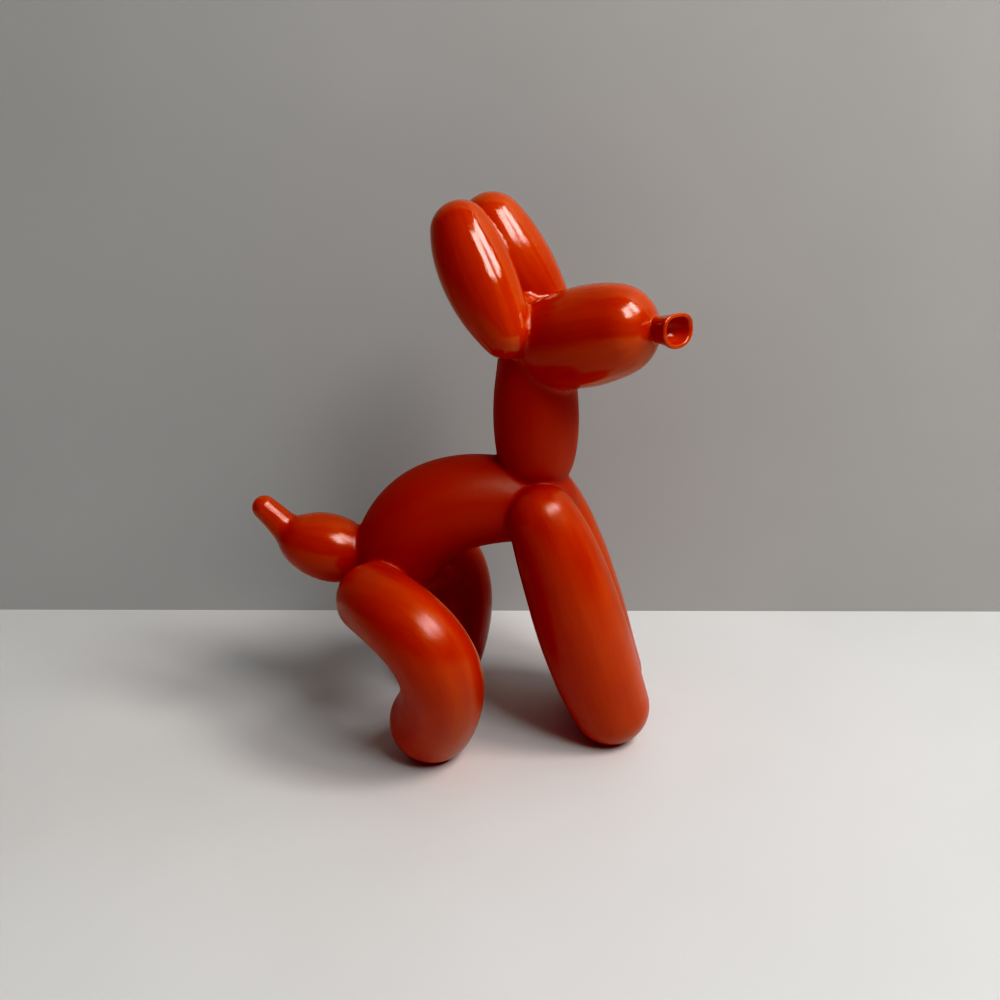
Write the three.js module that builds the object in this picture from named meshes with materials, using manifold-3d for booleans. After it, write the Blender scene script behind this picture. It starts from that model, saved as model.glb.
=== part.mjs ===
// Balloon poodle: a squatting dog twisted out of long balloon bubbles, cast in one piece.
// Millimetres, +Z up. The dog faces +X, its right side is -Y, and its soles stand on z = 0.

import * as THREE from 'three';
import * as BufferGeometryUtils from 'three/addons/utils/BufferGeometryUtils.js';
import Module from 'manifold-3d';

// Driving dimensions. A bubble is a round skin round a Bezier axis. Its radius along the axis is
// a Bezier too, so `axis` and `radii` hold control values, from one twist to the next.
const SOLE_CUT = 0.4; // how much of each foot's round end is ground flat

const BODY = {
  axis: [[-34, 0, 37.4], [-28.8, 0, 53.6], [-17.9, 0, 56.8], [0, 0, 54.3]],
  radii: [8.9, 12, 10.8, 8.5],
};
const NECK = {
  axis: [[-0.9, 0, 85.2], [-0.7, 0, 65.4]],
  radii: [8, 9, 10, 8.3],
};
const FRONT_LEG = {
  axis: [[0.6, -8.7, 53.2], [5.9, -10.1, 42.2], [9.4, -10.2, 25], [16, -8.3, 8.8 - SOLE_CUT]],
  radii: [7.6, 9.9, 10.7, 8.8],
};
const HIND_LEG = {
  axis: [[-35.9, -12.9, 36.8], [-25.8, -27.8, 38.2], [-15.3, -27.6, 27.4], [-23.7, -15.7, 9.4 - SOLE_CUT]],
  radii: [7.9, 8.8, 8.4, 9.4],
};
const TAIL_BALL = {
  axis: [[-52.1, 0, 45.1], [-42.5, 0, 42.1]],
  radii: [6.1, 9.3, 5.9],
};
const TAIL_NUB = {
  axis: [[-53.5, 0, 44.4], [-56.5, 0, 48.5], [-61.2, 0, 53.2]],
  radii: [4.2, 3.2, 2.7],
};

// The head is laid out looking along its own +X, then turned and leaned about the top of the neck.
const HEAD_PIVOT = new THREE.Vector3(-2.4, 0, 89.4);
const HEAD_TURN = THREE.MathUtils.degToRad(-28.5);
const HEAD_LEAN = THREE.MathUtils.degToRad(2);
const SNOUT = {
  axis: [[6.8, 0, 0.7], [19.5, 0, 4.1]],
  radii: [9.3, 10.6, 10.4, 9.2],
};
const EAR = {
  axis: [[-0.2, -9.2, 3.8], [-8.2, -7.1, 15.1], [-11.5, -6.2, 22.9]],
  radii: [5.1, 8.4, 8, 6.3],
};
const LEFT_EAR_FULLER = 1.12;

// The nozzle is the open end of the balloon, on the tip of the snout.
const NOZZLE_ROOT = new THREE.Vector3(19.4, -11.4, 94.2);
const NOZZLE_TURN = THREE.MathUtils.degToRad(-40);
const NOZZLE_RISE = THREE.MathUtils.degToRad(3);
const NOZZLE_LENGTH = 9;
const NOZZLE_WAIST_RADIUS = 2.6;
const NOZZLE_WAIST_LENGTH = 4;
const NOZZLE_LIP_RADIUS = 3.4;
const NOZZLE_WALL = 1;
const NOZZLE_CUP_DEPTH = 3;
const NOZZLE_CUP_FLOOR_RADIUS = 1.6;

// The whole figure is moved so that the middle of its length is over the origin.
const FORWARD_SHIFT = 17.8;

const SIDES = 22;
const RING_SPACING = 3.4;
const CAP_RINGS = 4;
const NOZZLE_SIDES = 18;
const NOZZLE_RIM_STEPS = 5;
const FEWEST_RINGS = 4;
const WELD_DISTANCE = 1e-4;

const wasm = await Module();
wasm.setup();

const ENAMEL = new THREE.MeshStandardMaterial({ color: 0xd9430f, roughness: 0.28, metalness: 0 });

function toSolid(geometry) {
  const bare = geometry.clone();
  bare.deleteAttribute('normal');
  bare.deleteAttribute('uv');
  const merged = BufferGeometryUtils.mergeVertices(bare, WELD_DISTANCE);
  return new wasm.Manifold(new wasm.Mesh({
    numProp: 3,
    vertProperties: new Float32Array(merged.attributes.position.array),
    triVerts: new Uint32Array(merged.index.array),
  }));
}

function toGeometry(solid) {
  const mesh = solid.getMesh();
  const geometry = new THREE.BufferGeometry();
  geometry.setAttribute('position', new THREE.BufferAttribute(mesh.vertProperties, 3));
  geometry.setIndex(new THREE.BufferAttribute(mesh.triVerts, 1));
  geometry.computeVertexNormals();
  return geometry;
}

// De Casteljau's rule, for numbers through `mix` = lerp and for points through Vector3 lerp.
function bezier(controls, t, mix) {
  let level = controls;
  while (level.length > 1) {
    level = level.slice(1).map((next, i) => mix(level[i], next, t));
  }
  return level[0];
}

function pointAt(axis, t) {
  return bezier(axis, t, (a, b, s) => a.clone().lerp(b, s));
}

function radiusAt(radii, t) {
  return bezier(radii, t, THREE.MathUtils.lerp);
}

// The skin that touches a ball rolled along the axis while its radius changes: each ring is where
// the skin touches one ball, and the two end balls round it off.
function bubble({ axis, radii }) {
  const points = axis.map((p) => (p.isVector3 ? p : new THREE.Vector3(...p)));
  const span = points.slice(1).reduce((sum, p, i) => sum + p.distanceTo(points[i]), 0);
  const rings = Math.max(FEWEST_RINGS, Math.round(span / RING_SPACING));
  const step = 1e-3;
  const positions = [];
  let across = new THREE.Vector3(0, 1, 0);

  function addRing(centre, along, radius, latitude) {
    across = across.clone().addScaledVector(along, -across.dot(along)).normalize();
    const up = new THREE.Vector3().crossVectors(along, across);
    const middle = centre.clone().addScaledVector(along, radius * Math.sin(latitude));
    const size = radius * Math.cos(latitude);
    for (let k = 0; k < SIDES; k += 1) {
      const turn = (2 * Math.PI * k) / SIDES;
      const p = middle.clone().addScaledVector(across, size * Math.cos(turn));
      p.addScaledVector(up, size * Math.sin(turn));
      positions.push(p.x, p.y, p.z);
    }
  }

  function stationAt(t) {
    const low = Math.max(0, t - step);
    const high = Math.min(1, t + step);
    const ahead = pointAt(points, high).sub(pointAt(points, low));
    const slope = (radiusAt(radii, high) - radiusAt(radii, low)) / ahead.length();
    return {
      centre: pointAt(points, t),
      along: ahead.normalize(),
      radius: radiusAt(radii, t),
      latitude: -Math.asin(slope),
    };
  }

  const first = stationAt(0);
  const last = stationAt(1);
  for (let i = 1; i <= CAP_RINGS; i += 1) {
    const latitude = THREE.MathUtils.lerp(-Math.PI / 2, first.latitude, i / (CAP_RINGS + 1));
    addRing(first.centre, first.along, first.radius, latitude);
  }
  for (let i = 0; i <= rings; i += 1) {
    const station = stationAt(i / rings);
    addRing(station.centre, station.along, station.radius, station.latitude);
  }
  for (let i = 1; i <= CAP_RINGS; i += 1) {
    const latitude = THREE.MathUtils.lerp(last.latitude, Math.PI / 2, i / (CAP_RINGS + 1));
    addRing(last.centre, last.along, last.radius, latitude);
  }

  const ringCount = positions.length / 3 / SIDES;
  const tail = first.centre.clone().addScaledVector(first.along, -first.radius);
  const nose = last.centre.clone().addScaledVector(last.along, last.radius);
  positions.push(tail.x, tail.y, tail.z, nose.x, nose.y, nose.z);
  const tailIndex = ringCount * SIDES;
  const noseIndex = tailIndex + 1;
  const triangles = [];
  for (let k = 0; k < SIDES; k += 1) {
    const next = (k + 1) % SIDES;
    triangles.push(tailIndex, next, k);
    for (let ring = 0; ring < ringCount - 1; ring += 1) {
      const here = ring * SIDES;
      const there = here + SIDES;
      triangles.push(here + k, here + next, there + k);
      triangles.push(here + next, there + next, there + k);
    }
    const lastRing = (ringCount - 1) * SIDES;
    triangles.push(noseIndex, lastRing + k, lastRing + next);
  }
  const geometry = new THREE.BufferGeometry();
  geometry.setAttribute('position', new THREE.Float32BufferAttribute(positions, 3));
  geometry.setIndex(triangles);
  return toSolid(geometry);
}

function mirrored({ axis, radii }) {
  return { axis: axis.map(([x, y, z]) => [x, -y, z]), radii };
}

function onHead({ axis, radii }) {
  const lean = new THREE.Matrix4().makeRotationX(HEAD_LEAN);
  const place = new THREE.Matrix4().makeRotationZ(HEAD_TURN).multiply(lean).setPosition(HEAD_PIVOT);
  return { axis: axis.map((p) => new THREE.Vector3(...p).applyMatrix4(place)), radii };
}

// A short waisted tube with a rolled lip and a hollow cup, turned about its own axis.
function nozzle() {
  const roll = NOZZLE_WALL / 2;
  const profile = [
    new THREE.Vector2(0, 0),
    new THREE.Vector2(NOZZLE_WAIST_RADIUS, 0),
    new THREE.Vector2(NOZZLE_WAIST_RADIUS, NOZZLE_WAIST_LENGTH),
  ];
  for (let i = 0; i <= NOZZLE_RIM_STEPS; i += 1) {
    const turn = (Math.PI * i) / NOZZLE_RIM_STEPS;
    profile.push(new THREE.Vector2(
      NOZZLE_LIP_RADIUS - roll * (1 - Math.cos(turn)),
      NOZZLE_LENGTH - roll * (1 - Math.sin(turn)),
    ));
  }
  profile.push(new THREE.Vector2(NOZZLE_CUP_FLOOR_RADIUS, NOZZLE_LENGTH - NOZZLE_CUP_DEPTH));
  profile.push(new THREE.Vector2(0, NOZZLE_LENGTH - NOZZLE_CUP_DEPTH));
  const geometry = new THREE.LatheGeometry(profile, NOZZLE_SIDES);
  geometry.rotateZ(-Math.PI / 2);
  geometry.rotateY(-NOZZLE_RISE);
  geometry.rotateZ(NOZZLE_TURN);
  geometry.translate(NOZZLE_ROOT.x, NOZZLE_ROOT.y, NOZZLE_ROOT.z);
  return toSolid(geometry);
}

function ground() {
  const size = 300;
  const geometry = new THREE.BoxGeometry(size, size, size);
  geometry.translate(0, 0, -size / 2);
  return toSolid(geometry);
}

function poodle() {
  const leftEar = mirrored(EAR);
  leftEar.radii = leftEar.radii.map((radius) => radius * LEFT_EAR_FULLER);
  const bubbles = [
    BODY,
    NECK,
    FRONT_LEG,
    mirrored(FRONT_LEG),
    HIND_LEG,
    mirrored(HIND_LEG),
    TAIL_BALL,
    TAIL_NUB,
    onHead(SNOUT),
    onHead(EAR),
    onHead(leftEar),
  ];
  const cast = bubbles.map(bubble).reduce((whole, next) => whole.add(next));
  return cast.add(nozzle()).subtract(ground());
}

const figure = new THREE.Mesh(toGeometry(poodle()), ENAMEL);
figure.name = 'balloon_poodle';
figure.position.x = FORWARD_SHIFT;

const model = new THREE.Group();
model.add(figure);

export default model;
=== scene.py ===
"""Balloon poodle: a one-piece glossy orange figurine on a plain pale stage.

The CAD solid gives the pose and the sizes. Here the same bubbles are skinned again as one fine
mesh, with soft paint-filled creases between them, ground soles, a hand-finished surface and a
rolled nozzle, and the whole gets a procedural enamel.
"""
import math

import bpy
import numpy as np
from mathutils import Matrix, Vector, noise


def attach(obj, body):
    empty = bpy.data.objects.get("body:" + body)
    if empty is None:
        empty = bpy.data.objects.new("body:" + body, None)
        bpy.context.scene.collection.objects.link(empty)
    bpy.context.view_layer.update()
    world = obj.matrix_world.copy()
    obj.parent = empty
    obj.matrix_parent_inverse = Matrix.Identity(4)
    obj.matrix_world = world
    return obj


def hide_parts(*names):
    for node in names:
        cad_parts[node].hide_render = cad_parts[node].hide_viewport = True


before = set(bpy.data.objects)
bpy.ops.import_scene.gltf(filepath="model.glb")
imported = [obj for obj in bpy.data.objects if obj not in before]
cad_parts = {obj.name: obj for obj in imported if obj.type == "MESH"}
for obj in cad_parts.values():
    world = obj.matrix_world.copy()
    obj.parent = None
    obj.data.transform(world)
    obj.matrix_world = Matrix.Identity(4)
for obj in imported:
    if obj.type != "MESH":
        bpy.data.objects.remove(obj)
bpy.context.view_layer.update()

MM = 0.001  # the figure's own dimensions are in millimetres, and everything placed is in metres

# --- dimensions, as in the CAD model ---------------------------------------------------------
# A bubble is a round skin round a Bezier axis, and its radius along the axis is a Bezier too.
SOLE_CUT = 0.4
BODY = dict(
    axis=[(-34, 0, 37.4), (-28.8, 0, 53.6), (-17.9, 0, 56.8), (0, 0, 54.3)],
    radii=[8.9, 12, 10.8, 8.5],
)
NECK = dict(axis=[(-0.9, 0, 85.2), (-0.7, 0, 65.4)], radii=[8, 9, 10, 8.3])
FRONT_LEG = dict(
    axis=[(0.6, -8.7, 53.2), (5.9, -10.1, 42.2), (9.4, -10.2, 25), (16, -8.3, 8.8 - SOLE_CUT)],
    radii=[7.6, 9.9, 10.7, 8.8],
)
HIND_LEG = dict(
    axis=[(-35.9, -12.9, 36.8), (-25.8, -27.8, 38.2), (-15.3, -27.6, 27.4), (-23.7, -15.7, 9.4 - SOLE_CUT)],
    radii=[7.9, 8.8, 8.4, 9.4],
)
TAIL_BALL = dict(axis=[(-52.1, 0, 45.1), (-42.5, 0, 42.1)], radii=[6.1, 9.3, 5.9])
TAIL_NUB = dict(axis=[(-53.5, 0, 44.4), (-56.5, 0, 48.5), (-61.2, 0, 53.2)], radii=[4.2, 3.2, 2.7])

HEAD_PIVOT = Vector((-2.4, 0, 89.4))
HEAD_TURN = math.radians(-28.5)
HEAD_LEAN = math.radians(2)
SNOUT = dict(axis=[(6.8, 0, 0.7), (19.5, 0, 4.1)], radii=[9.3, 10.6, 10.4, 9.2])
EAR = dict(axis=[(-0.2, -9.2, 3.8), (-8.2, -7.1, 15.1), (-11.5, -6.2, 22.9)], radii=[5.1, 8.4, 8, 6.3])
LEFT_EAR_FULLER = 1.12
# the casting closes the small gap that twisted balloons leave between the ears and the snout
CROWN = dict(axis=[(-3.4, 0, 6.6), (-1.8, 0, 7.4), (-0.2, 0, 7.9)], radii=[2.3, 2.1, 1.6])

NOZZLE_ROOT = Vector((19.4, -11.4, 94.2))
NOZZLE_TURN = math.radians(-40)
NOZZLE_RISE = math.radians(3)
NOZZLE_LENGTH = 9
FORWARD_SHIFT = 17.8

# --- the finish that only the fine mesh carries ----------------------------------------------
VOXEL = 0.62  # spacing of the fine mesh
RELAX_ROUNDS = (0, 6, 4, 2)  # evening-out before each settling onto the skin
SETTLE_STEPS = 4
SHALLOWEST_SLOPE = 0.05  # keeps a settling step short where two skins face each other
CREASE_SOFTNESS = 0.4  # how wide a fillet the paint makes where two bubbles meet
SOLE_SOFTNESS = 0.12  # the same, at the rim of a ground sole
POLISH_SOFTNESS = 1.3  # how far one bubble's gloss runs into the next one's
WAVE_HEIGHT = 0.09  # slow unevenness left by the hand finish
WAVE_LENGTH = 11.0
RIPPLE_SHARE = 0.35  # a second, shorter wave on the slow one
RIPPLE_SHORTER = 2.7
RIPPLE_OFFSET = Vector((31, 7, 5))
WAVES_START = 3.0  # the waves fade out over this height above the ground
NOZZLE_WAVES = 0.3  # and are this much weaker on the nozzle
OFF_THE_SKIN = 0.35  # a point further out than this belongs to the nozzle
NOZZLE_POLISH = 0.8
TURNS_ROUND = 9  # lengthwise coordinates: width given to a bubble's girth
BUBBLE_OFFSET = 97  # and the distance between one bubble's pattern and the next one's


# --- bubbles ----------------------------------------------------------------------------------
def power_form(controls):
    """The factors of 1, t, t**2 ... of the Bezier with these control values."""
    p = np.array(controls, float).reshape(len(controls), -1)
    n = len(p) - 1
    return np.array([
        math.comb(n, k) * sum((-1) ** (k - i) * math.comb(k, i) * p[i] for i in range(k + 1))
        for k in range(n + 1)
    ])


def derivative(factors):
    return factors[1:] * np.arange(1, len(factors))[:, None]


def evaluate(factors, t):
    total = np.zeros((len(t), factors.shape[1]))
    for factor in factors[::-1]:
        total = total * t[:, None] + factor
    return total


class Bubble:
    """A round skin round a curve: a ball whose radius changes as its centre runs along."""

    COARSE = 33

    def __init__(self, axis, radii, polish):
        self.polish = polish
        self.axis = power_form(axis)
        self.radius = power_form(radii)
        self.axis_1 = derivative(self.axis)
        self.axis_2 = derivative(self.axis_1)
        self.radius_1 = derivative(self.radius)
        self.radius_2 = derivative(self.radius_1)

    def start(self, points):
        """For each point, about where on the axis the nearest skin belongs."""
        stations = np.linspace(0, 1, self.COARSE)
        centres = evaluate(self.axis, stations)
        radii = evaluate(self.radius, stations)[:, 0]
        best = np.full(len(points), np.inf)
        t = np.zeros(len(points))
        for station, centre, radius in zip(stations, centres, radii):
            gap = np.linalg.norm(points - centre, axis=1) - radius
            closer = gap < best
            best[closer] = gap[closer]
            t[closer] = station
        return t

    def refine(self, points, t):
        """One Newton step of t towards the nearest skin, kept within one coarse interval."""
        away = points - evaluate(self.axis, t)
        distance = np.maximum(np.linalg.norm(away, axis=1), 1e-6)
        run = evaluate(self.axis_1, t)
        bend = evaluate(self.axis_2, t)
        along = (away * run).sum(1)
        slope = -along / distance - evaluate(self.radius_1, t)[:, 0]
        curve = ((run * run).sum(1) - (away * bend).sum(1)) / distance
        curve -= along**2 / distance**3 + evaluate(self.radius_2, t)[:, 0]
        step = -slope / np.maximum(curve, 1.0)
        limit = 1 / (self.COARSE - 1)
        return np.clip(t + np.clip(step, -limit, limit), 0, 1)

    def gap(self, points, t):
        """The distance outside the skin, and its direction."""
        away = points - evaluate(self.axis, t)
        distance = np.maximum(np.linalg.norm(away, axis=1), 1e-6)
        return distance - evaluate(self.radius, t)[:, 0], away / distance[:, None]


def mirrored(shape, fuller=1.0):
    return dict(axis=[(x, -y, z) for x, y, z in shape["axis"]], radii=[r * fuller for r in shape["radii"]])


def on_head(shape):
    turn = Matrix.Rotation(HEAD_TURN, 3, "Z") @ Matrix.Rotation(HEAD_LEAN, 3, "X")
    return dict(axis=[tuple(turn @ Vector(p) + HEAD_PIVOT) for p in shape["axis"]], radii=shape["radii"])


# polish: 1 is a wet-looking gloss, 0 is satin
BUBBLES = [
    Bubble(**BODY, polish=0.05),
    Bubble(**NECK, polish=0.16),
    Bubble(**FRONT_LEG, polish=0.54),
    Bubble(**mirrored(FRONT_LEG), polish=0.54),
    Bubble(**HIND_LEG, polish=0.55),
    Bubble(**mirrored(HIND_LEG), polish=0.55),
    Bubble(**TAIL_BALL, polish=0.8),
    Bubble(**TAIL_NUB, polish=0.82),
    Bubble(**on_head(SNOUT), polish=0.85),
    Bubble(**on_head(EAR), polish=1.0),
    Bubble(**on_head(mirrored(EAR, LEFT_EAR_FULLER)), polish=0.9),
    Bubble(**on_head(CROWN), polish=0.9),
]


def head_point(x, y, z):
    return np.array(on_head(dict(axis=[(x, y, z)], radii=[0]))["axis"][0])


# Where paint has pooled into a wider fillet: (place, reach, extra softness).
POOLS = [
    (head_point(1.5, 0.3, 12.0), 9.0, 0.45),  # the valley between the ears
    (head_point(5.0, -5.0, 8.0), 5.0, 0.25),  # where the ears sit on the snout
    (np.array([1.0, -3.0, 83.0]), 8.0, 0.25),  # under the snout, on the neck
    (np.array([-53.0, 0.0, 45.0]), 4.0, 0.5),  # the root of the tail's nub
    (np.array([9.0, 0.0, 36.0]), 9.0, 0.5),  # between the front legs
    (np.array([13.0, 0.0, 18.0]), 9.0, 0.5),
]


def softness_at(points):
    softness = np.full(len(points), CREASE_SOFTNESS)
    for place, reach, extra in POOLS:
        softness += extra * np.exp(-((points - place) ** 2).sum(1) / reach**2)
    return softness


def blend(gaps, softness):
    """The soft smallest of the gaps, and how much each bubble has in it."""
    low = gaps.min(0)
    shares = np.exp(-(gaps - low) / softness)
    total = shares.sum(0)
    return low - softness * np.log(total), shares / total


def starts(points, rounds):
    """For each bubble, where on its axis the skin nearest to each point belongs."""
    ts = [bubble.start(points) for bubble in BUBBLES]
    for bubble, t in zip(BUBBLES, ts):
        for _ in range(rounds):
            t[:] = bubble.refine(points, t)
    return ts


def skins(points, ts):
    """For each bubble, every point's distance outside its skin and the way out."""
    gaps, ways = [], []
    for bubble, t in zip(BUBBLES, ts):
        t[:] = bubble.refine(points, t)
        gap, way = bubble.gap(points, t)
        gaps.append(gap)
        ways.append(way)
    return np.array(gaps), np.array(ways)


def settle(points):
    """Moves points onto the blended skin."""
    ts = starts(points, 2)
    for _ in range(SETTLE_STEPS):
        gaps, ways = skins(points, ts)
        skin, shares = blend(gaps, softness_at(points))
        way = (shares[:, :, None] * ways).sum(0)
        # the ground takes off what would be under z = 0
        ground = -points[:, 2]
        high = np.maximum(skin, ground)
        in_skin = np.exp((skin - high) / SOLE_SOFTNESS)
        in_ground = np.exp((ground - high) / SOLE_SOFTNESS)
        whole = high + SOLE_SOFTNESS * np.log(in_skin + in_ground)
        share = (in_skin / (in_skin + in_ground))[:, None]
        way = way * share + np.array([0, 0, -1.0]) * (1 - share)
        size = np.maximum((way**2).sum(1), SHALLOWEST_SLOPE)
        points = points - way * (whole / size)[:, None]
    return points


def relax(mesh, points, rounds):
    """Evens out the spacing: each point moves halfway to the middle of its neighbours."""
    pairs = np.empty(len(mesh.edges) * 2, np.int32)
    mesh.edges.foreach_get("vertices", pairs)
    first, second = pairs.reshape(-1, 2).T
    count = np.bincount(pairs, minlength=len(points))[:, None]
    for _ in range(rounds):
        total = np.zeros_like(points)
        np.add.at(total, first, points[second])
        np.add.at(total, second, points[first])
        points = (points + total / count) / 2
    return points


# --- mesh helpers -----------------------------------------------------------------------------
def make_object(name, vertices, faces):
    mesh = bpy.data.meshes.new(name)
    mesh.from_pydata([tuple(v) for v in vertices], [], faces)
    mesh.validate()
    piece = bpy.data.objects.new(name, mesh)
    bpy.context.scene.collection.objects.link(piece)
    return piece


def positions(mesh):
    flat = np.empty(len(mesh.vertices) * 3, np.float32)
    mesh.vertices.foreach_get("co", flat)
    return flat.reshape(-1, 3).astype(float)


def set_positions(mesh, points):
    mesh.vertices.foreach_set("co", np.asarray(points, np.float32).ravel())
    mesh.update()


def tube(rings, sides, start, end):
    """A closed skin through rings of points, with a point at each end."""
    vertices = [p for ring in rings for p in ring] + [start, end]
    start_index = len(rings) * sides
    end_index = start_index + 1
    last = (len(rings) - 1) * sides
    faces = []
    for k in range(sides):
        after = (k + 1) % sides
        faces.append((start_index, after, k))
        faces.append((end_index, last + k, last + after))
        for ring in range(len(rings) - 1):
            here = ring * sides
            faces.append((here + k, here + after, here + sides + after, here + sides + k))
    return vertices, faces


def rough_skin(bubble, sides=40, rings=36, cap_rings=9):
    """A closed mesh of one bubble, good enough to be remeshed."""
    ring_list = []
    across = np.array([0.0, 1.0, 0.0])

    def add(t, latitude):
        nonlocal across
        at = np.array([t])
        centre = evaluate(bubble.axis, at)[0]
        radius = evaluate(bubble.radius, at)[0, 0]
        along = evaluate(bubble.axis_1, at)[0]
        along = along / np.linalg.norm(along)
        across = across - along * across.dot(along)
        across = across / np.linalg.norm(across)
        up = np.cross(along, across)
        middle = centre + along * radius * math.sin(latitude)
        size = radius * math.cos(latitude)
        angles = np.linspace(0, 2 * np.pi, sides, endpoint=False)
        ring_list.append(middle + size * (np.outer(np.cos(angles), across) + np.outer(np.sin(angles), up)))
        return centre, radius, along

    def latitude_at(t):
        at = np.array([t])
        slope = evaluate(bubble.radius_1, at)[0, 0] / np.linalg.norm(evaluate(bubble.axis_1, at)[0])
        return -math.asin(slope)

    for i in range(1, cap_rings + 1):
        low = -math.pi / 2
        centre, radius, along = add(0.0, low + (latitude_at(0.0) - low) * i / (cap_rings + 1))
    start = centre - along * radius
    for i in range(rings + 1):
        add(i / rings, latitude_at(i / rings))
    for i in range(1, cap_rings + 1):
        low = latitude_at(1.0)
        centre, radius, along = add(1.0, low + (math.pi / 2 - low) * i / (cap_rings + 1))
    end = centre + along * radius
    return tube(ring_list, sides, start, end)


def apply_modifiers(piece):
    depsgraph = bpy.context.evaluated_depsgraph_get()
    mesh = bpy.data.meshes.new_from_object(piece.evaluated_get(depsgraph))
    piece.modifiers.clear()
    piece.data = mesh


# --- the nozzle -------------------------------------------------------------------------------
NOZZLE_SIDES = 72
STUB_START = 0.2  # where the flared root begins, inside the snout
STUB_LENGTH = 3.5
ROOT_FLARE = 1.9
WAIST = 2.6
MOUTH_WIDE = 4.4
MOUTH_HIGH = 3.5
MOUTH_SLANT = math.radians(8)  # the mouth looks this much further aside than the stub points
MOUTH_CORNERS = 0.09  # how squarely the mouth's upper corners stand out
LOWER_CORNERS = 0.3  # the lower ones, as a share of the upper ones
FLAT_TOP = 0.25  # how far the top of the mouth is pressed down
LIP = 0.45  # the rolled lip's radius
CUP_DEPTH = 3.2


def nozzle_profile():
    """Points of (reach from the stub's axis, place along it), from the root over the lip into the cup."""
    lip_place = NOZZLE_LENGTH - LIP
    points = []
    for s in np.linspace(0, 1, 10):
        flare = ROOT_FLARE * (1 - s) ** 2.6
        points.append((WAIST + flare, STUB_START + (STUB_LENGTH - STUB_START) * s))
    for s in np.linspace(0.12, 1, 8):
        opening = (MOUTH_HIGH - WAIST) * s**1.6
        points.append((WAIST + opening, STUB_LENGTH + (lip_place - STUB_LENGTH) * s))
    for turn in np.linspace(0, math.pi, 11)[1:]:
        points.append((MOUTH_HIGH - LIP * (1 - math.cos(turn)), lip_place + LIP * math.sin(turn)))
    inside = MOUTH_HIGH - 2 * LIP
    for turn in np.linspace(0, math.pi / 2, 9)[1:-1]:
        points.append((inside * math.cos(turn) ** 0.8, lip_place - CUP_DEPTH * math.sin(turn)))
    return points


def nozzle_ring(reach, place):
    """One ring of the nozzle: round at the waist, a flat-topped oval at the mouth."""
    open_share = min(max((place - STUB_LENGTH) / (NOZZLE_LENGTH - STUB_LENGTH), 0), 1)
    widening = 1 + (MOUTH_WIDE / MOUTH_HIGH - 1) * open_share
    ring = []
    for turn in np.linspace(0, 2 * math.pi, NOZZLE_SIDES, endpoint=False):
        wide, high = math.cos(turn), math.sin(turn)
        corner_share = 1 if high > 0 else LOWER_CORNERS
        corner = 1 + MOUTH_CORNERS * open_share * (1 - math.cos(4 * turn)) / 2 * corner_share
        y = wide * reach * corner * widening
        z = high * reach * corner
        z -= FLAT_TOP * open_share * max(high, 0) ** 2 * reach / MOUTH_HIGH
        x = place + y * math.tan(MOUTH_SLANT) * open_share
        ring.append(np.array([x, y, z]))
    return ring


def nozzle():
    """The balloon's open end: a flared root, a waist, a rolled lip and a hollow cup."""
    rings = [nozzle_ring(reach, place) for reach, place in nozzle_profile()]
    start = np.array([STUB_START - 0.1, 0, 0])
    end = np.array([NOZZLE_LENGTH - LIP - CUP_DEPTH, 0, 0])
    vertices, faces = tube(rings, NOZZLE_SIDES, start, end)
    turn = Matrix.Rotation(NOZZLE_TURN, 4, "Z") @ Matrix.Rotation(-NOZZLE_RISE, 4, "Y")
    place = Matrix.Translation(NOZZLE_ROOT) @ turn
    return [tuple(place @ Vector(v)) for v in vertices], faces


# --- the figure -------------------------------------------------------------------------------
def figure():
    vertices, faces = [], []
    for bubble in BUBBLES:
        skin, quads = rough_skin(bubble)
        faces += [tuple(i + len(vertices) for i in face) for face in quads]
        vertices += list(skin)
    poodle = make_object("poodle", vertices, faces)
    remesh = poodle.modifiers.new("even", "REMESH")
    remesh.mode = "VOXEL"
    remesh.voxel_size = VOXEL
    apply_modifiers(poodle)

    points = positions(poodle.data)
    for rounds in RELAX_ROUNDS:
        points = settle(relax(poodle.data, points, rounds))
    set_positions(poodle.data, points)

    tip = make_object("tip", *nozzle())
    join = poodle.modifiers.new("nozzle", "BOOLEAN")
    join.operation = "UNION"
    join.solver = "EXACT"
    join.object = tip
    apply_modifiers(poodle)
    bpy.data.objects.remove(tip)

    finish_surface(poodle.data)
    mesh = poodle.data
    set_positions(mesh, (positions(mesh) + np.array([FORWARD_SHIFT, 0, 0])) * MM)
    mesh.shade_smooth()
    return poodle


def lengthwise_coordinates(points, owner, ts, ways):
    """Coordinates for the enamel: round each bubble, and slowly along it."""
    skin = np.zeros((len(points), 3))
    for i, (bubble, t) in enumerate(zip(BUBBLES, ts)):
        mine = owner == i
        stations = evaluate(bubble.axis, np.linspace(0, 1, 50))
        axis_length = np.linalg.norm(np.diff(stations, axis=0), axis=1).sum()
        run = evaluate(bubble.axis_1, t[mine])
        run = run / np.linalg.norm(run, axis=1)[:, None]
        away = ways[i][mine]
        across = np.array([0.0, 1.0, 0.0]) - run * run[:, 1:2]
        across = across / np.maximum(np.linalg.norm(across, axis=1), 1e-6)[:, None]
        up = np.cross(run, across)
        skin[mine, 0] = (away * across).sum(1) * TURNS_ROUND
        skin[mine, 1] = (away * up).sum(1) * TURNS_ROUND
        skin[mine, 2] = t[mine] * axis_length + i * BUBBLE_OFFSET
    return skin


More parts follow.
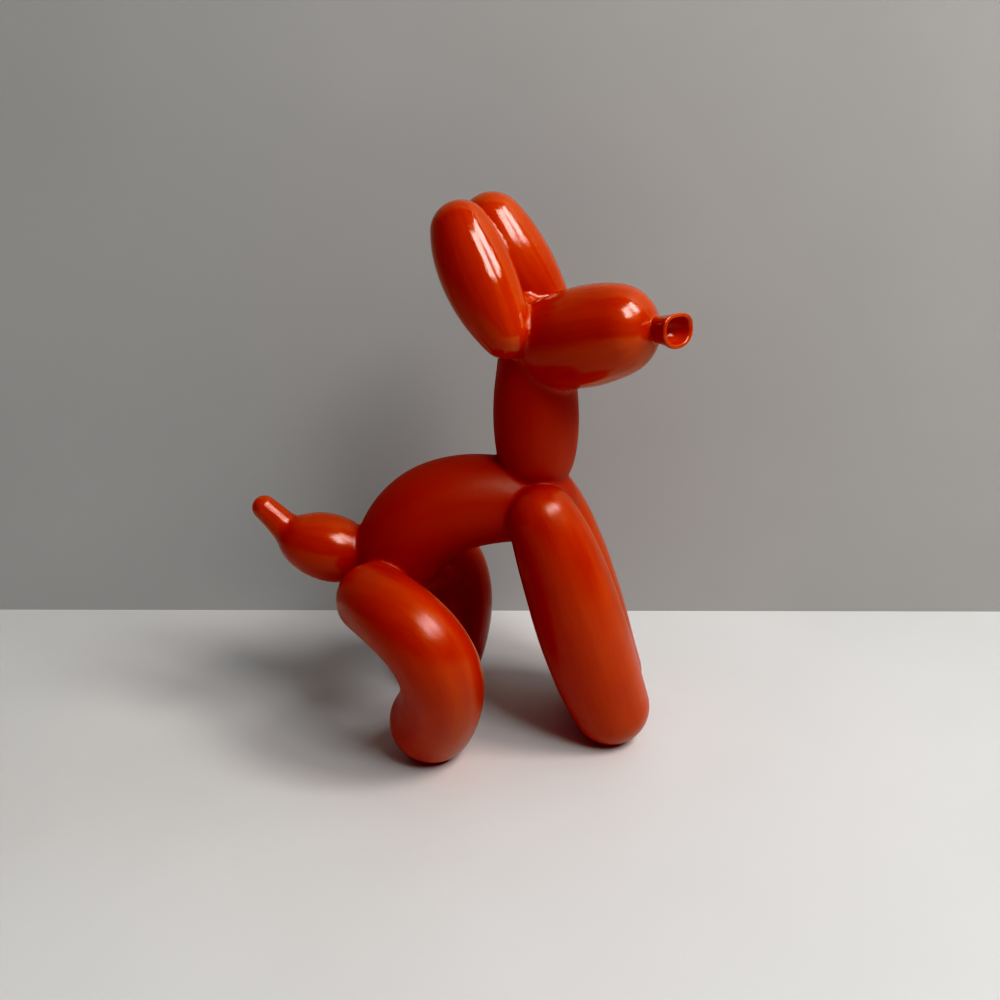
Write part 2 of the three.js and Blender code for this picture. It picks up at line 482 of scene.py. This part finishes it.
def hand_finish(mesh, points, on_nozzle):
    """Slow waves over the surface, none where it stands."""
    normals = np.empty(len(points) * 3, np.float32)
    mesh.vertices.foreach_get("normal", normals)
    wave = np.array([noise.noise(Vector(p) / WAVE_LENGTH) for p in points])
    ripple = [noise.noise(Vector(p) * RIPPLE_SHORTER / WAVE_LENGTH + RIPPLE_OFFSET) for p in points]
    wave += RIPPLE_SHARE * np.array(ripple)
    fade = np.clip(points[:, 2] / WAVES_START, 0, 1) * np.where(on_nozzle, NOZZLE_WAVES, 1)
    lift = WAVE_HEIGHT * wave * fade
    set_positions(mesh, points + normals.reshape(-1, 3) * lift[:, None])


def finish_surface(mesh):
    """The slow unevenness, and what the enamel needs to know at each vertex."""
    points = positions(mesh)
    ts = starts(points, 2)
    gaps, ways = skins(points, ts)
    _, shares = blend(gaps, POLISH_SOFTNESS)
    crease = 1 - shares.max(0)
    polish = (shares * np.array([bubble.polish for bubble in BUBBLES])[:, None]).sum(0)
    on_nozzle = gaps.min(0) > OFF_THE_SKIN
    crease[on_nozzle] = 0
    polish[on_nozzle] = NOZZLE_POLISH
    skin = lengthwise_coordinates(points, gaps.argmin(0), ts, ways)
    for name, values in (("crease", crease), ("polish", polish)):
        attribute = mesh.attributes.new(name, "FLOAT", "POINT")
        attribute.data.foreach_set("value", values.astype(np.float32))
    attribute = mesh.attributes.new("skin", "FLOAT_VECTOR", "POINT")
    attribute.data.foreach_set("vector", skin.astype(np.float32).ravel())
    hand_finish(mesh, points, on_nozzle)


# --- enamel -----------------------------------------------------------------------------------
def add_node(tree, kind, inputs=None, **settings):
    node = tree.nodes.new(kind)
    for key, value in settings.items():
        setattr(node, key, value)
    for key, value in (inputs or {}).items():
        if isinstance(value, bpy.types.NodeSocket):
            tree.links.new(value, node.inputs[key])
        else:
            node.inputs[key].default_value = value
    return node


def spread(tree, value, from_low, from_high, to_low, to_high):
    return add_node(tree, "ShaderNodeMapRange", {
        "Value": value, "From Min": from_low, "From Max": from_high, "To Min": to_low, "To Max": to_high,
    }).outputs["Result"]


def blotches(tree, place, scale, detail=2.0, roughness=0.5):
    return add_node(tree, "ShaderNodeTexNoise", {
        "Vector": place, "Scale": scale, "Detail": detail, "Roughness": roughness,
    }).outputs["Fac"]


def mix_colour(tree, share, first, second):
    node = tree.nodes.new("ShaderNodeMix")
    node.data_type = "RGBA"
    for key, value in ((0, share), (6, first), (7, second)):
        if isinstance(value, bpy.types.NodeSocket):
            tree.links.new(value, node.inputs[key])
        else:
            node.inputs[key].default_value = value
    return node.outputs[2]


def calculate(tree, operation, first, second, clamp=False):
    inputs = {0: first, 1: second}
    return add_node(tree, "ShaderNodeMath", inputs, operation=operation, use_clamp=clamp).outputs[0]


def squeeze(tree, place, factors):
    return add_node(tree, "ShaderNodeVectorMath", {0: place, 1: factors}, operation="MULTIPLY").outputs[0]


ORANGE = (0.53, 0.062, 0.001, 1)
RED_ORANGE = (0.46, 0.042, 0.001, 1)
SATIN_SHADE = (0.34, 0.018, 0.001, 1)  # painted shade over the satin body, neck and legs
# painted shade: the deeper red that the creases between bubbles are darkened to
CREASE_SHADE = (0.37, 0.019, 0.001, 1)
WORN = (0.56, 0.075, 0.002, 1)
SATIN_ROUGHNESS = 0.56
GLOSS_ROUGHNESS = 0.11


def enamel():
    material = bpy.data.materials.new("orange_enamel")
    material.use_nodes = True
    tree = material.node_tree
    shader = tree.nodes["Principled BSDF"]
    shader.inputs["IOR"].default_value = 1.5
    crease = add_node(tree, "ShaderNodeAttribute", attribute_name="crease").outputs["Fac"]
    polish = add_node(tree, "ShaderNodeAttribute", attribute_name="polish").outputs["Fac"]
    skin = add_node(tree, "ShaderNodeAttribute", attribute_name="skin").outputs["Vector"]
    place = add_node(tree, "ShaderNodeTexCoord").outputs["Object"]

    # streaks run lengthwise: the coordinate along the bubble is squeezed
    streaks = blotches(tree, squeeze(tree, skin, (0.33, 0.33, 0.035)), 1.0, 3.0, 0.55)
    clouds = blotches(tree, place, 95.0, 2.0)
    streak_share = calculate(tree, "MULTIPLY", streaks, 0.6)
    cloud_share = calculate(tree, "MULTIPLY", clouds, 0.4)
    shade = spread(tree, calculate(tree, "ADD", streak_share, cloud_share), 0.36, 0.64, 0.0, 1.0)
    colour = mix_colour(tree, shade, RED_ORANGE, ORANGE)
    specks = spread(tree, blotches(tree, place, 1500.0, 1.0), 0.70, 0.76, 0.0, 0.12)
    colour = mix_colour(tree, specks, colour, WORN)
    # painted shade: the less polished body, neck and legs are darkened
    satin_shade = spread(tree, polish, 0.15, 0.8, 0.65, 0.0)
    colour = mix_colour(tree, satin_shade, colour, SATIN_SHADE)
    # painted shade: darker, deeper red where two bubbles meet
    crease_shade = spread(tree, crease, 0.15, 0.5, 0.0, 0.65)
    colour = mix_colour(tree, crease_shade, colour, CREASE_SHADE)
    tree.links.new(colour, shader.inputs["Base Color"])

    # rougher where less polished, with a little haze and lengthwise rubbing
    gloss = spread(tree, polish, 0.0, 1.0, SATIN_ROUGHNESS, GLOSS_ROUGHNESS)
    haze = spread(tree, blotches(tree, place, 420.0, 3.0), 0.35, 0.65, -0.02, 0.02)
    rubbed = spread(tree, streaks, 0.4, 0.7, -0.015, 0.02)
    roughness = calculate(tree, "ADD", calculate(tree, "ADD", gloss, haze), rubbed, clamp=True)
    tree.links.new(roughness, shader.inputs["Roughness"])

    # orange peel, and broader marks of the brush
    peel = blotches(tree, place, 700.0, 2.0, 0.45)
    brush = blotches(tree, squeeze(tree, skin, (1.2, 1.2, 0.35)), 1.0, 2.0, 0.5)
    first = add_node(tree, "ShaderNodeBump", {"Strength": 0.6, "Distance": 0.00003, "Height": peel})
    second = add_node(tree, "ShaderNodeBump", {
        "Strength": 0.5, "Distance": 0.00006, "Height": brush, "Normal": first.outputs["Normal"],
    })
    tree.links.new(second.outputs["Normal"], shader.inputs["Normal"])
    return material


# --- stage ------------------------------------------------------------------------------------
def board(name, corners, colour, roughness, seen_from_behind=True):
    """A flat painted board, with a faint unevenness. One that would hide the figure is clear from behind."""
    piece = make_object(name, corners, [(0, 1, 2, 3)])
    material = bpy.data.materials.new(name)
    material.use_nodes = True
    tree = material.node_tree
    shader = tree.nodes["Principled BSDF"]
    place = add_node(tree, "ShaderNodeTexCoord").outputs["Object"]
    shade = spread(tree, blotches(tree, place, 14.0, 3.0), 0.3, 0.7, 0.0, 1.0)
    darker = tuple(c * 0.95 for c in colour)
    tree.links.new(mix_colour(tree, shade, (*darker, 1), (*colour, 1)), shader.inputs["Base Color"])
    shader.inputs["Roughness"].default_value = roughness
    if not seen_from_behind:
        output = tree.nodes["Material Output"]
        back = add_node(tree, "ShaderNodeNewGeometry").outputs["Backfacing"]
        clear = add_node(tree, "ShaderNodeBsdfTransparent")
        either = add_node(tree, "ShaderNodeMixShader", {0: back, 1: shader.outputs[0], 2: clear.outputs[0]})
        tree.links.new(either.outputs[0], output.inputs["Surface"])
    piece.data.materials.append(material)
    return piece


WALL_BACK = 0.059  # how far the wall is behind the figure's mid-plane
FLOOR_HALF = 2.0
WALL_TOP = 1.2
FLOOR_WHITE = (0.68, 0.68, 0.675)
WALL_GREY = (0.50, 0.495, 0.485)
FLOOR_ROUGHNESS = 0.5
WALL_ROUGHNESS = 0.6


def stage():
    board("floor", [
        (-FLOOR_HALF, -FLOOR_HALF, 0), (FLOOR_HALF, -FLOOR_HALF, 0),
        (FLOOR_HALF, FLOOR_HALF, 0), (-FLOOR_HALF, FLOOR_HALF, 0),
    ], FLOOR_WHITE, FLOOR_ROUGHNESS)
    board("wall", [
        (-FLOOR_HALF, WALL_BACK, 0), (FLOOR_HALF, WALL_BACK, 0),
        (FLOOR_HALF, WALL_BACK, WALL_TOP), (-FLOOR_HALF, WALL_BACK, WALL_TOP),
    ], WALL_GREY, WALL_ROUGHNESS, seen_from_behind=False)


def direction(azimuth, elevation):
    a, e = math.radians(azimuth), math.radians(elevation)
    return Vector((math.cos(a) * math.cos(e), math.sin(a) * math.cos(e), math.sin(e)))


LAMPS = (("window", -51, 50), ("lamp", -19, 51))  # (name, azimuth, elevation)
LAMP_AIM = Vector((0, 0, 0.05))
LAMP_DISTANCE = 0.9
LAMP_WIDTH = 0.26
LAMP_HEIGHT = 0.36
LAMP_POWER = 4.05
LAMP_COLOUR = (1, 0.995, 0.98)
ROOM_COLOUR = (0.85, 0.8, 0.8, 1)
ROOM_BRIGHTNESS = 0.15


def area_light(name, azimuth, elevation):
    data = bpy.data.lights.new(name, "AREA")
    data.shape = "RECTANGLE"
    data.size = LAMP_WIDTH
    data.size_y = LAMP_HEIGHT
    data.energy = LAMP_POWER
    data.color = LAMP_COLOUR
    lamp = bpy.data.objects.new(name, data)
    bpy.context.scene.collection.objects.link(lamp)
    way = direction(azimuth, elevation)
    lamp.location = LAMP_AIM + way * LAMP_DISTANCE
    lamp.rotation_euler = way.to_track_quat("Z", "Y").to_euler()


def lights():
    for lamp in LAMPS:
        area_light(*lamp)
    world = bpy.data.worlds.new("studio")
    bpy.context.scene.world = world
    world.use_nodes = True
    background = world.node_tree.nodes["Background"]
    background.inputs["Color"].default_value = ROOM_COLOUR
    background.inputs["Strength"].default_value = ROOM_BRIGHTNESS


# --- camera -----------------------------------------------------------------------------------
CAMERA_AT = Vector((0.0159, -0.2054, 0.1256))
CAMERA_YAW = math.radians(1.9)
CAMERA_DOWN = math.radians(19.0)
CAMERA_ROLL = math.radians(-0.7)
CAMERA_LENS = 35.5


def camera():
    data = bpy.data.cameras.new("camera")
    data.lens = CAMERA_LENS
    data.sensor_width = 36
    data.clip_start = 0.01
    holder = bpy.data.objects.new("camera", data)
    bpy.context.scene.collection.objects.link(holder)
    tilt = Matrix.Rotation(math.pi / 2 - CAMERA_DOWN, 3, "X")
    turn = Matrix.Rotation(CAMERA_YAW, 3, "Z") @ tilt @ Matrix.Rotation(CAMERA_ROLL, 3, "Z")
    holder.location = CAMERA_AT
    holder.rotation_euler = turn.to_euler()
    bpy.context.scene.camera = holder


# (scene brightness, shown brightness): strong colours lose their weaker primaries in the shade
RED_TOE = [(0.018, 0.004), (0.05, 0.02)]
GREEN_TOE = [(0.026, 0.001), (0.05, 0.010), (0.08, 0.035)]
BLUE_TOE = [(0.02, 0.0003), (0.045, 0.009), (0.08, 0.034)]
SHOULDER = [(0.13, 0.085), (0.4, 0.32), (0.65, 0.66)]


def tone():
    """A camera-like tone curve: deep shadows, plain highlights."""
    view = bpy.context.scene.view_settings
    view.view_transform = "Standard"
    view.use_curve_mapping = True
    for curve, toe in zip(view.curve_mapping.curves, (RED_TOE, GREEN_TOE, BLUE_TOE)):
        for bright, shown in toe + SHOULDER:
            curve.points.new(bright, shown)
    view.curve_mapping.update()


# --- assembly ---------------------------------------------------------------------------------
poodle = figure()
poodle.data.materials.clear()
poodle.data.materials.append(enamel())
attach(poodle, "root")
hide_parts("balloon_poodle")

stage()
lights()
camera()
tone()

triangles = sum(len(p.vertices) - 2 for p in poodle.data.polygons)
print("triangles", triangles)
